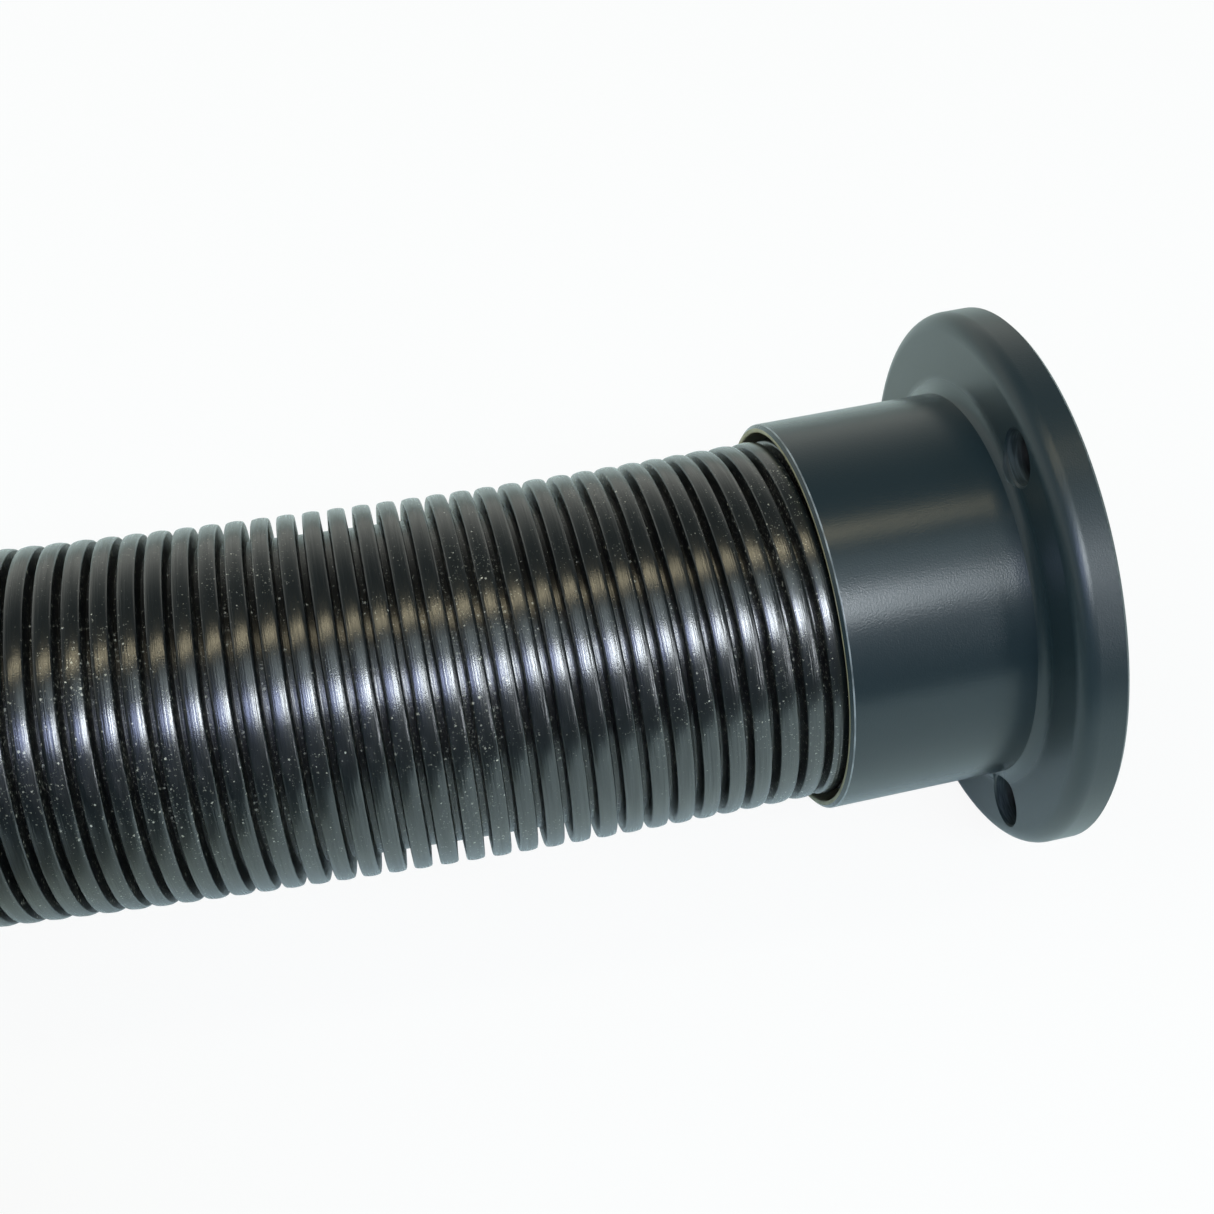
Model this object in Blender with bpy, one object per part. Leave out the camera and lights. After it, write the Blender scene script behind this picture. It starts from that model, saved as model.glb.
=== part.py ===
"""A pool vacuum hose: ribbed hose with a bolted flange fitting on one end and a swivel cuff on the other.

Metres, +Z up. X runs along the flange fitting: the mouth of its collar faces -X and its flat back faces +X.
The origin is on the floor, under the middle of the fitting, which stands on its rim.
"""

import math

import bmesh
import bpy
from mathutils import Matrix, Vector

MM = 0.001
CLEARANCE = 0.3 * MM  # between two pieces that touch on the real hose

# The hose: one spiral rib with a flat top, standing on a thin wall.
HOSE_RADIUS = 29.2 * MM  # over the ribs
RIB_PITCH = 4.03 * MM
RIB_WIDTH = 2.66 * MM
RIB_DEPTH = 3.4 * MM
HOSE_WALL = 0.8 * MM  # under the grooves
HOSE_BORE_RADIUS = HOSE_RADIUS - RIB_DEPTH - HOSE_WALL

# The flange fitting, measured along X from the mouth of its collar.
SOCKET_GAP = 1.2 * MM  # round the ribs, inside the collar
COLLAR_WALL = 1.35 * MM
COLLAR_LENGTH = 31.3 * MM
LIP_CHAMFER = 0.65 * MM
SOCKET_DEPTH = 27.0 * MM
SEAL_THICKNESS = 1.5 * MM
FLANGE_WIDTH = 12.7 * MM  # how far the flange stands out from the collar
FLANGE_THICKNESS = 7.5 * MM
RIM_ROUND = 3.0 * MM
ROOT_ROUND = 4.2 * MM  # radius of the fillet between collar and flange
ROOT_REACH = 3.15 * MM  # how far the fillet spreads over the flange
EDGE_CHAMFER = 0.5 * MM
BOLT_HOLES = 3
BOLT_HOLE_RADIUS = 4.35 * MM
BOLT_INSET = 5.15 * MM  # from the collar's wall to a hole's centre
FIRST_HOLE = 102.5  # degrees about +X, from +Y

SOCKET_RADIUS = HOSE_RADIUS + SOCKET_GAP
COLLAR_RADIUS = SOCKET_RADIUS + COLLAR_WALL
FLANGE_RADIUS = COLLAR_RADIUS + FLANGE_WIDTH
BOLT_CIRCLE_RADIUS = COLLAR_RADIUS + BOLT_INSET
FITTING_LENGTH = COLLAR_LENGTH + FLANGE_THICKNESS
MOUTH = Vector((-FITTING_LENGTH / 2, 0.0, FLANGE_RADIUS))
HOSE_IN_SOCKET = SOCKET_DEPTH - SEAL_THICKNESS - 2 * CLEARANCE

# The coil: two layers of turns, tied with flat straps that it lies on.
COIL_RADIUS = 337.5 * MM  # to the middle of the turns
COIL_CENTRE = Vector((-450.0 * MM, -295.5 * MM, 0.0))
LAYER_PITCH = 59.0 * MM
LAYERS = 2
STRAP_THICKNESS = 2.0 * MM
STRAP_WIDTH = 25.0 * MM
STRAP_ANGLES = (130.0, 205.0, 290.0)  # degrees round the coil from +X
COIL_FLOOR = STRAP_THICKNESS + CLEARANCE + 0.1 * MM  # the last for the corners of the straps

# The swivel cuff, measured from the hose's side towards its open end, which faces -X.
CUFF_REAR = Vector((-405.0 * MM, -104.0 * MM, 40.0 * MM))
CUFF_RADIUS = 40.0 * MM  # over the swivel, which lies on the floor
CUFF_LENGTH = 112.0 * MM
CUFF_SWIVEL_END = 50.0 * MM
CUFF_NECK = 60.0 * MM
CUFF_NECK_RADIUS = 31.5 * MM
CUFF_BEAD_RADIUS = 33.0 * MM
CUFF_BEAD_LENGTH = 5.0 * MM
CUFF_SOCKET_RADIUS = 25.5 * MM
HOSE_IN_CUFF = 43.0 * MM
INSERT_START = 2.0 * MM
INSERT_WALL = 3.2 * MM
INSERT_STOP = 2.4 * MM  # thickness of the ledge that stops the hose
THRUST_WIDTH = 3.5 * MM  # how far the thrust flange stands out
THRUST_LENGTH = 4.0 * MM
NUT_START = 4.0 * MM
NUT_HEAD = 4.3 * MM

# Where the hose runs: each list goes through these points, and the lead starts at the mouth.
STRAIGHT_OUT = 10.0 * MM
LEAD_ROUTE = [
    MOUTH - Vector((CLEARANCE, 0.0, 0.0)),
    MOUTH - Vector((STRAIGHT_OUT, 0.0, 0.0)),
    (-0.064, 0.0014, 0.0436),
    (-0.108, 0.0046, 0.0431),
    (-0.152, 0.0096, 0.0419),
    (-0.200, 0.0166, 0.0394),
    (-0.255, 0.0252, 0.0366),
    (-0.315, 0.0336, 0.0340),
    (-0.382, 0.0398, 0.0320),
    (-0.450, 0.0420, 0.0316),
]
TAIL_ROUTE = [
    (-0.1992, -0.5213, 0.0906),
    (-0.1499, -0.4393, 0.0905),
    (-0.1352, -0.3447, 0.0902),
    (-0.1570, -0.2515, 0.0811),
    (-0.2108, -0.1747, 0.0636),
    (-0.2910, -0.1224, 0.0469),
    (-0.3850, -0.1040, 0.0400),
    CUFF_REAR + Vector((5.0 * MM, 0.0, 0.0)),
    CUFF_REAR - Vector((HOSE_IN_CUFF, 0.0, 0.0)),
]
ROUTE_STEP = HOSE_RADIUS  # between the points of a tube's spline

TURN_STEPS = 96  # faces round the flange fitting
SMALL_TURN_STEPS = 48  # faces round the other turned pieces
COIL_STEPS = 72


def clear_scene():
    for old in list(bpy.data.objects):
        bpy.data.objects.remove(old, do_unlink=True)


def plastic(name, colour, roughness):
    material = bpy.data.materials.new(name)
    material.use_nodes = True
    shader = material.node_tree.nodes["Principled BSDF"]
    shader.inputs["Base Color"].default_value = (*colour, 1.0)
    shader.inputs["Roughness"].default_value = roughness
    shader.inputs["Metallic"].default_value = 0.0
    return material


def add_object(name, data, material, parent=None, location=(0.0, 0.0, 0.0)):
    obj = bpy.data.objects.new(name, data)
    bpy.context.scene.collection.objects.link(obj)
    obj.location = location
    obj.parent = parent
    if material:
        data.materials.append(material)
    return obj


def mesh_from(bm, name):
    bmesh.ops.remove_doubles(bm, verts=bm.verts, dist=1e-6)
    bmesh.ops.recalc_face_normals(bm, faces=bm.faces)
    mesh = bpy.data.meshes.new(name)
    bm.to_mesh(mesh)
    bm.free()
    return mesh


def arc(centre, radius, start, end, steps):
    """Points of an arc in (along, out) coordinates, with its angles in degrees from the along axis."""
    angles = [math.radians(start + (end - start) * i / steps) for i in range(steps + 1)]
    return [(centre[0] + radius * math.cos(a), centre[1] + radius * math.sin(a)) for a in angles]


def turned(name, profile, steps):
    """A closed (along, out) profile turned all the way round the X axis."""
    bm = bmesh.new()
    verts = [bm.verts.new((along, 0.0, -out)) for along, out in profile]
    for a, b in zip(verts, verts[1:] + verts[:1], strict=True):
        bm.edges.new((a, b))
    bmesh.ops.spin(
        bm,
        geom=bm.verts[:] + bm.edges[:],
        cent=(0.0, 0.0, 0.0),
        axis=(1.0, 0.0, 0.0),
        angle=2 * math.pi,
        steps=steps,
        use_duplicate=False,
    )
    return mesh_from(bm, name)


def fitting_profile():
    """Collar, root fillet, flange and stepped bore, from the mouth to the flat back."""
    root_angle = math.degrees(math.asin(ROOT_REACH / ROOT_ROUND))
    root = arc(
        (COLLAR_LENGTH - ROOT_ROUND, COLLAR_RADIUS + ROOT_REACH), ROOT_ROUND, -root_angle, 0.0, 6
    )
    rim = arc((COLLAR_LENGTH + RIM_ROUND, FLANGE_RADIUS - RIM_ROUND), RIM_ROUND, 180.0, 90.0, 8)
    return [
        (EDGE_CHAMFER / 2, SOCKET_RADIUS),
        (0.0, SOCKET_RADIUS + EDGE_CHAMFER / 2),
        (0.0, COLLAR_RADIUS - LIP_CHAMFER),
        (LIP_CHAMFER, COLLAR_RADIUS),
        *root,
        *rim,
        (FITTING_LENGTH - EDGE_CHAMFER, FLANGE_RADIUS),
        (FITTING_LENGTH, FLANGE_RADIUS - EDGE_CHAMFER),
        (FITTING_LENGTH, HOSE_BORE_RADIUS + EDGE_CHAMFER),
        (FITTING_LENGTH - EDGE_CHAMFER, HOSE_BORE_RADIUS),
        (SOCKET_DEPTH, HOSE_BORE_RADIUS),
        (SOCKET_DEPTH, SOCKET_RADIUS),
    ]


def bolt_hole_cutter(parent):
    """Cylinders through the flange, evenly spaced from the first hole's angle."""
    bm = bmesh.new()
    length = 3 * FLANGE_THICKNESS
    for i in range(BOLT_HOLES):
        angle = math.radians(FIRST_HOLE + 360.0 * i / BOLT_HOLES)
        centre = Vector((0.0, math.cos(angle), math.sin(angle))) * BOLT_CIRCLE_RADIUS
        centre.x = COLLAR_LENGTH + FLANGE_THICKNESS / 2
        bmesh.ops.create_cone(
            bm,
            cap_ends=True,
            segments=32,
            radius1=BOLT_HOLE_RADIUS,
            radius2=BOLT_HOLE_RADIUS,
            depth=length,
            matrix=Matrix.Translation(centre) @ Matrix.Rotation(math.pi / 2, 4, "Y"),
        )
    cutter = add_object("bolt_hole_cutter", mesh_from(bm, "bolt_hole_cutter"), None, parent)
    cutter.hide_render = True
    cutter.display_type = "WIRE"
    return cutter


def ribbed_profile(length):
    """The hose's wall with the ribs cut square, as rings: the real rib is one spiral."""
    outer = []
    start = 0.0
    while start < length:
        for along, out in (
            (start, HOSE_RADIUS),
            (start + RIB_WIDTH, HOSE_RADIUS),
            (start + RIB_WIDTH, HOSE_RADIUS - RIB_DEPTH),
            (start + RIB_PITCH, HOSE_RADIUS - RIB_DEPTH),
        ):
            if along < length:
                outer.append((along, out))
        start += RIB_PITCH
    return [*outer, (length, outer[-1][1]), (length, HOSE_BORE_RADIUS), (0.0, HOSE_BORE_RADIUS)]


def smooth_route(points, step):
    """Points a step apart on a smooth curve through the route's own points."""
    points = [Vector(p) for p in points]
    chords = [b - a for a, b in zip(points, points[1:], strict=False)]
    headings = [chords[0].normalized()]
    for before, after in zip(chords, chords[1:], strict=False):
        blend = before.normalized() * after.length + after.normalized() * before.length
        headings.append(blend / (before.length + after.length))
    headings.append(chords[-1].normalized())
    fine = []
    for i, chord in enumerate(chords):
        a, b = points[i], points[i + 1]
        slope_a, slope_b = headings[i] * chord.length, headings[i + 1] * chord.length
        count = max(2, round(chord.length / step))
        for k in range(count):
            t = k / count
            fine.append(
                a * (2 * t**3 - 3 * t**2 + 1)
                + slope_a * (t**3 - 2 * t**2 + t)
                + b * (3 * t**2 - 2 * t**3)
                + slope_b * (t**3 - t**2)
            )
    return [*fine, points[-1]]


def rim_to_coil_axis(point, heading, towards):
    """How far the rim of a tube cut off at a point is from the coil's axis, on the side of the coil."""
    spoke = point - COIL_CENTRE
    spoke.z = 0.0
    side = towards * spoke.normalized()
    side -= heading * side.dot(heading)
    rim = point + side.normalized() * HOSE_RADIUS - COIL_CENTRE
    return math.hypot(rim.x, rim.y)


def clear_part(points, is_clear):
    """The route up to the place where it meets the coil, found between the last two points."""
    kept = []
    for point in points:
        heading = (point - kept[-1]).normalized() if kept else Vector((-1.0, 0.0, 0.0))
        if not is_clear(point, heading):
            low, high = kept[-1], point
            for _ in range(20):
                middle = (low + high) / 2
                low, high = (middle, high) if is_clear(middle, heading) else (low, middle)
            return [*kept, low]
        kept.append(point)
    return kept


def tube(name, points, material):
    curve = bpy.data.curves.new(name, "CURVE")
    curve.dimensions = "3D"
    curve.bevel_depth = HOSE_RADIUS
    curve.bevel_resolution = 4
    curve.render_resolution_u = 0
    curve.use_fill_caps = True
    spline = curve.splines.new("POLY")
    spline.points.add(len(points) - 1)
    for slot, point in zip(spline.points, points, strict=True):
        slot.co = (*point, 1.0)
    return add_object(name, curve, material)


def coil_section(grow):
    """Outline of the stacked turns, grown by a margin: (across, up) from the middle of the lowest turn."""
    top = (LAYERS - 1) * LAYER_PITCH
    lower = arc((0.0, 0.0), HOSE_RADIUS + grow, 180.0, 360.0, 8)
    upper = arc((0.0, top), HOSE_RADIUS + grow, 0.0, 180.0, 8)
    return lower + upper


def turned_about_z(name, section, start, sweep, steps):
    """The coil's section swept round the coil's axis, from a start angle in degrees."""
    bm = bmesh.new()
    lowest = COIL_FLOOR + HOSE_RADIUS
    turn = Matrix.Rotation(math.radians(start), 4, "Z")
    verts = [bm.verts.new(turn @ Vector((COIL_RADIUS + x, 0.0, lowest + z))) for x, z in section]
    for a, b in zip(verts, verts[1:] + verts[:1], strict=True):
        bm.edges.new((a, b))
    bmesh.ops.spin(
        bm,
        geom=bm.verts[:] + bm.edges[:],
        cent=(0.0, 0.0, 0.0),
        axis=(0.0, 0.0, 1.0),
        angle=math.radians(sweep),
        steps=steps,
        use_duplicate=False,
    )
    return mesh_from(bm, name)


def make_flange_end():
    grey = plastic("flange_grey", (0.052, 0.066, 0.074), 0.42)
    black = plastic("hose_black", (0.012, 0.012, 0.014), 0.32)
    rubber = plastic("seal_rubber", (0.020, 0.020, 0.020), 0.70)
    place = bpy.data.objects.new("fitting_place", None)
    bpy.context.scene.collection.objects.link(place)
    place.location = MOUTH
    fitting = add_object(
        "flange_fitting", turned("flange_fitting", fitting_profile(), TURN_STEPS), grey, place
    )
    holes = fitting.modifiers.new("bolt_holes", "BOOLEAN")
    holes.operation = "DIFFERENCE"
    holes.solver = "EXACT"
    holes.object = bolt_hole_cutter(place)
    add_object(
        "hose_socket_end",
        turned("hose_socket_end", ribbed_profile(HOSE_IN_SOCKET), SMALL_TURN_STEPS),
        black,
        place,
    )
    seal_start = HOSE_IN_SOCKET + CLEARANCE
    seal_profile = [
        (seal_start, HOSE_BORE_RADIUS),
        (seal_start, SOCKET_RADIUS - CLEARANCE),
        (seal_start + SEAL_THICKNESS, SOCKET_RADIUS - CLEARANCE),
        (seal_start + SEAL_THICKNESS, HOSE_BORE_RADIUS),
    ]
    add_object("socket_seal", turned("socket_seal", seal_profile, SMALL_TURN_STEPS), rubber, place)


def make_hose():
    black = plastic("hose_black_free", (0.012, 0.012, 0.014), 0.32)
    coiled = plastic("hose_black_coiled", (0.012, 0.012, 0.014), 0.34)
    trailing = plastic("hose_black_tail", (0.012, 0.012, 0.014), 0.33)
    outside = COIL_RADIUS + HOSE_RADIUS + CLEARANCE
    lead = clear_part(
        smooth_route(LEAD_ROUTE, ROUTE_STEP),
        lambda point, heading: rim_to_coil_axis(point, heading, -1.0) > outside,
    )
    tube("hose_lead", lead, black)
    inside = COIL_RADIUS - HOSE_RADIUS - CLEARANCE
    tail = clear_part(
        smooth_route(TAIL_ROUTE, ROUTE_STEP)[::-1],
        lambda point, heading: rim_to_coil_axis(point, heading, 1.0) < inside,
    )
    tube("hose_tail", tail, trailing)
    coil = turned_about_z("hose_coil", coil_section(0.0), 0.0, 360.0, COIL_STEPS)
    add_object("hose_coil", coil, coiled, location=COIL_CENTRE)


def make_straps():
    webbing = plastic("strap_webbing", (0.03, 0.03, 0.032), 0.85)
    sweep = math.degrees(STRAP_WIDTH / COIL_RADIUS)
    for number, angle in enumerate(STRAP_ANGLES, start=1):
        name = f"coil_strap_{number}"
        band = turned_about_z(name, coil_section(CLEARANCE), angle - sweep / 2, sweep, 2)
        strap = add_object(name, band, webbing, location=COIL_CENTRE)
        wall = strap.modifiers.new("thickness", "SOLIDIFY")
        wall.thickness = STRAP_THICKNESS
        wall.offset = 1.0
        wall.use_even_offset = True


def make_cuff():
    shell_grey = plastic("cuff_grey", (0.050, 0.062, 0.070), 0.45)
    insert_grey = plastic("insert_grey", (0.045, 0.050, 0.055), 0.50)
    nut_grey = plastic("nut_grey", (0.040, 0.046, 0.050), 0.48)
    rubber = plastic("washer_rubber", (0.020, 0.020, 0.020), 0.70)
    axis = bpy.data.objects.new("cuff_axis", None)
    bpy.context.scene.collection.objects.link(axis)
    axis.location = CUFF_REAR
    axis.rotation_euler = (0.0, 0.0, math.pi)

    sleeve_bore = HOSE_RADIUS + CLEARANCE
    sleeve = sleeve_bore + INSERT_WALL
    thrust = sleeve + THRUST_WIDTH
    thrust_end = HOSE_IN_CUFF
    thrust_start = thrust_end - THRUST_LENGTH
    stop_start = HOSE_IN_CUFF + CLEARANCE
    nose = stop_start + INSERT_STOP
    insert_profile = [
        (INSERT_START, sleeve_bore),
        (INSERT_START, sleeve),
        (thrust_start, sleeve),
        (thrust_start, thrust),
        (thrust_end, thrust),
        (thrust_end, sleeve),
        (nose, sleeve),
        (nose, HOSE_BORE_RADIUS),
        (stop_start, HOSE_BORE_RADIUS),
        (stop_start, sleeve_bore),
    ]
    insert = turned("cuff_insert", insert_profile, SMALL_TURN_STEPS)
    add_object("cuff_insert", insert, insert_grey, axis)

    washer_start = thrust_end + CLEARANCE
    washer_end = washer_start + SEAL_THICKNESS
    washer_profile = [
        (washer_start, sleeve + CLEARANCE),
        (washer_start, thrust),
        (washer_end, thrust),
        (washer_end, sleeve + CLEARANCE),
    ]
    washer = turned("cuff_seal", washer_profile, SMALL_TURN_STEPS)
    add_object("cuff_seal", washer, rubber, axis)

    shell_start = NUT_START + NUT_HEAD + CLEARANCE
    shoulder = washer_end + CLEARANCE
    floor = max(shoulder, nose + CLEARANCE) + CLEARANCE
    bead_start = CUFF_LENGTH - CUFF_BEAD_LENGTH
    shell_profile = [
        (shell_start, thrust + CLEARANCE),
        (shell_start, CUFF_RADIUS),
        (CUFF_SWIVEL_END, CUFF_RADIUS),
        (CUFF_NECK, CUFF_NECK_RADIUS),
        (bead_start - EDGE_CHAMFER, CUFF_NECK_RADIUS),
        (bead_start, CUFF_BEAD_RADIUS),
        (CUFF_LENGTH - EDGE_CHAMFER, CUFF_BEAD_RADIUS),
        (CUFF_LENGTH, CUFF_BEAD_RADIUS - EDGE_CHAMFER),
        (CUFF_LENGTH, CUFF_SOCKET_RADIUS + EDGE_CHAMFER),
        (CUFF_LENGTH - EDGE_CHAMFER, CUFF_SOCKET_RADIUS),
        (floor, CUFF_SOCKET_RADIUS),
        (floor, sleeve + CLEARANCE),
        (shoulder, sleeve + CLEARANCE),
        (shoulder, thrust + CLEARANCE),
    ]
    shell = turned("cuff_shell", shell_profile, SMALL_TURN_STEPS)
    add_object("cuff_shell", shell, shell_grey, axis)

    nut_profile = [
        (NUT_START, sleeve + CLEARANCE),
        (NUT_START, CUFF_RADIUS - EDGE_CHAMFER),
        (NUT_START + EDGE_CHAMFER, CUFF_RADIUS),
        (NUT_START + NUT_HEAD, CUFF_RADIUS),
        (NUT_START + NUT_HEAD, thrust),
        (thrust_start - CLEARANCE, thrust),
        (thrust_start - CLEARANCE, sleeve + CLEARANCE),
    ]
    nut = turned("cuff_retaining_nut", nut_profile, SMALL_TURN_STEPS)
    add_object("cuff_retaining_nut", nut, nut_grey, axis)


clear_scene()
make_flange_end()
make_hose()
make_straps()
make_cuff()
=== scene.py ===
"""A pool vacuum hose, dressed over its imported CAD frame.

The near end of a black spiral-ribbed hose sits in the collar of a moulded flange fitting. The rest of the hose lies
beside it in a strapped coil, and ends in a swivel cuff. Lengths are in metres, and X runs along the fitting.
"""

import math

import bmesh
import bpy
import numpy as np
from mathutils import Matrix, Vector


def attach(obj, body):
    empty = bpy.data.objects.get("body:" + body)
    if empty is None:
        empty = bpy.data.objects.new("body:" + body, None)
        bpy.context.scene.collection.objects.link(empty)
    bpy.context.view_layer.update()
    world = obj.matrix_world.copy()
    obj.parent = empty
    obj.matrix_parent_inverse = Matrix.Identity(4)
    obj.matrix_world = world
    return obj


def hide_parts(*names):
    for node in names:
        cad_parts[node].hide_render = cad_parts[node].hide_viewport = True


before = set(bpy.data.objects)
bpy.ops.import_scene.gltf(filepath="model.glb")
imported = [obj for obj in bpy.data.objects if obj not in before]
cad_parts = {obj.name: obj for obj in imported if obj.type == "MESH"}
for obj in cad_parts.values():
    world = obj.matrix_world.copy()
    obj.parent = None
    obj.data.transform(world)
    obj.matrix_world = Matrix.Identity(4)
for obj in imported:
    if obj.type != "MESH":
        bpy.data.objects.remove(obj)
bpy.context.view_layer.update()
scene = bpy.context.scene

# ---- The camera ---------------------------------------------------------------------------------------------------
# It looks down on the fitting from the front left, from 0.33 m away. Its place and its lens come from the outlines of
# the collar, the flange and the ribs in the photograph.

CAMERA_PLACE = Vector((-0.10145, -0.20101, 0.28989))
CAMERA_HEADING = Vector((0.165975, 0.641908, -0.748603))
CAMERA_LENS = 59.31  # mm, on a sensor 36 mm wide

camera = bpy.data.objects.new("camera", bpy.data.cameras.new("camera"))
camera.data.lens = CAMERA_LENS
camera.data.sensor_width = 36.0
camera.data.clip_start = 0.01
camera.location = CAMERA_PLACE
camera.rotation_euler = CAMERA_HEADING.to_track_quat("-Z", "Y").to_euler()
scene.collection.objects.link(camera)
scene.camera = camera

# ---- The hose -----------------------------------------------------------------------------------------------------
# 15 ft of 2 in vacuum hose: a flat-topped rib of black polyethylene that winds round a thin wall, welded to it as both
# leave the die. The tooling draws fine lines along the rib, and the bore is left smooth.

HOSE_RADIUS = 0.0292
BORE_RADIUS = 0.0250
RIB_PITCH = 0.00403
RIB_WIDTH = 0.00278
RIB_DEPTH = 0.0034
RIB_START = 0.00027  # from the mouth to the middle of a rib, on the side that faces -Y
RIB_EDGE = 0.00032  # how far the rounding of its edges reaches
RIB_CROWN = 0.00013  # how much higher its middle is than its edges
RIB_DRAFT = 0.00022  # how far each of its sides leans out towards its foot
IN_SOCKET = 0.0249  # how much of the hose is inside the collar
RIB_PHASE = IN_SOCKET + RIB_START - RIB_WIDTH / 2
# The rib isn't wound quite evenly: (distance from the hose's end, how far the rib strays from its pitch), in mm.
RIB_WANDER = ((0, 0), (36, 0.1), (46, -0.6), (57, -0.9), (68, -0.7), (87, -0.45), (108, -0.65), (132, -1.1), (330, 0))
MOUTH = np.array((-0.0194, 0.0, 0.04445))
COIL_CENTRE = np.array((-0.450, -0.2955, 0.0316))
COIL_RADIUS = 0.3375
COIL_SWEEP = 588.0  # degrees
LAYER = 0.059  # how much higher each turn lies than the last
NEAR_LENGTH = 0.360
LINE_STEP = 0.002
NEAR_AROUND = 80  # faces round the hose where the camera is close
FAR_AROUND = 36
LEAD_ROUTE = [
    (0.0055, 0.0, 0.04445),
    (-0.0197, 0.0, 0.04445),
    (-0.0294, 0.0, 0.04445),
    (-0.064, 0.0014, 0.0436),
    (-0.108, 0.0046, 0.0431),
    (-0.152, 0.0096, 0.0419),
    (-0.200, 0.0166, 0.0394),
    (-0.255, 0.0252, 0.0366),
    (-0.315, 0.0336, 0.0340),
    (-0.382, 0.0398, 0.0320),
    (-0.450, 0.0420, 0.0316),
]
TAIL_ROUTE = [
    (-0.1992, -0.5213, 0.0906),
    (-0.1499, -0.4393, 0.0905),
    (-0.1352, -0.3447, 0.0902),
    (-0.1570, -0.2515, 0.0811),
    (-0.2108, -0.1747, 0.0636),
    (-0.2910, -0.1224, 0.0469),
    (-0.3850, -0.1040, 0.0400),
    (-0.4000, -0.1040, 0.0400),
    (-0.4480, -0.1040, 0.0400),
]


def lengths_along(line):
    """The length along a line at each of its points: the running sum of the chords between them."""
    return np.concatenate([[0], np.cumsum(np.linalg.norm(np.diff(line, axis=0), axis=1))])


def evenly(line, step):
    """The line again, with its points a step apart: each coordinate is read at equal lengths along it."""
    along = lengths_along(line)
    at = np.linspace(0, along[-1], round(along[-1] / step) + 1)
    return np.stack([np.interp(at, along, line[:, k]) for k in range(3)], axis=1)


def smooth_line(points):
    """A cubic through each pair of points. A point's heading is the mean of its two chords' directions, and the
    shorter chord counts for more."""
    points = np.array(points, float)
    chords = np.diff(points, axis=0)
    long = np.linalg.norm(chords, axis=1)[:, None]
    unit = chords / long
    inner = (unit[:-1] * long[1:] + unit[1:] * long[:-1]) / (long[:-1] + long[1:])
    heading = np.vstack([unit[:1], inner, unit[-1:]])
    t = np.linspace(0, 1, 60, endpoint=False)[None, :, None]
    a, b = points[:-1, None], points[1:, None]
    slope_a, slope_b = (heading[:-1] * long)[:, None], (heading[1:] * long)[:, None]
    line = a * (2 * t**3 - 3 * t**2 + 1) + slope_a * (t**3 - 2 * t**2 + t)
    line = line + b * (3 * t**2 - 2 * t**3) + slope_b * (t**3 - t**2)
    return np.vstack([line.reshape(-1, 3), points[-1:]])


def coil_line():
    """Turns about a level circle. The height steps up by a layer between 0.76 and 0.94 of each turn, on a cosine."""
    turn = np.radians(np.linspace(0, COIL_SWEEP, 1200))
    whole, part = np.divmod(turn / (2 * math.pi), 1)
    rise = (1 - np.cos(math.pi * np.clip((part - 0.76) / 0.18, 0, 1))) / 2
    across = COIL_RADIUS * np.stack([-np.sin(turn), np.cos(turn)], axis=1)
    return COIL_CENTRE + np.column_stack([across, LAYER * (whole + rise)])


def headings(line):
    """The line's own direction, a level direction square to it, and the direction square to both."""
    ahead = np.gradient(line, axis=0)
    ahead /= np.linalg.norm(ahead, axis=1)[:, None]
    side = np.cross((0.0, 0.0, 1.0), ahead)
    side /= np.linalg.norm(side, axis=1)[:, None]
    return ahead, side, np.cross(ahead, side)


def carried(points, line):
    """Points given as (along, sideways, up) of a straight hose, moved to where the hose's line takes them. The rib's
    own wander is added along it."""
    at = lengths_along(line)
    along, across, up = points.T
    spots, strays = np.array(RIB_WANDER, float).T / 1000
    along = along + np.interp(along, spots, strays)
    _, side, rise = headings(line)
    centre, side, rise = (
        np.stack([np.interp(along, at, part[:, k]) for k in range(3)], axis=1)
        for part in (line, side, rise)
    )
    return centre + side * across[:, None] + rise * up[:, None]


def rib_grid(start, end, profile, around):
    """The outside of a straight hose. One index goes round and round the helix, the other across one pitch of the
    rib's profile: along = phase + pitch x turns + the profile's place, and out is the profile's radius."""
    first = math.floor((start - RIB_PHASE) / RIB_PITCH) - 2
    last = math.ceil((end - RIB_PHASE) / RIB_PITCH) + 1
    steps = (last - first + 1) * around
    count = len(profile)
    angle = (first * around + np.arange(steps))[:, None] * 2 * math.pi / around
    along = RIB_PHASE + RIB_PITCH * angle / (2 * math.pi) + profile[None, :, 0]
    out = np.broadcast_to(profile[None, :, 1], along.shape)
    points = np.stack([along, out * np.cos(angle), out * np.sin(angle)], axis=2).reshape(-1, 3)
    i, j = np.meshgrid(np.arange(steps - around - 1), np.arange(count), indexing="ij")
    this = i * count + j
    ahead = np.where(j < count - 1, this + 1, (i + around) * count)
    faces = np.stack([this, this + count, ahead + count, ahead], axis=2).reshape(-1, 4)
    u = np.stack([along, along, np.roll(along, -1, 1), np.roll(along, -1, 1)], axis=2)
    u[:, -1, 2:] = (along[:, 0] + RIB_PITCH)[:, None]
    v = HOSE_RADIUS * (angle + np.array([0, 1, 1, 0]) * 2 * math.pi / around)[:, None, :]
    v = np.broadcast_to(v, u.shape)
    uv = np.stack([u, v], axis=3)[: steps - around - 1].reshape(-1, 2)
    return points, faces, uv


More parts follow.
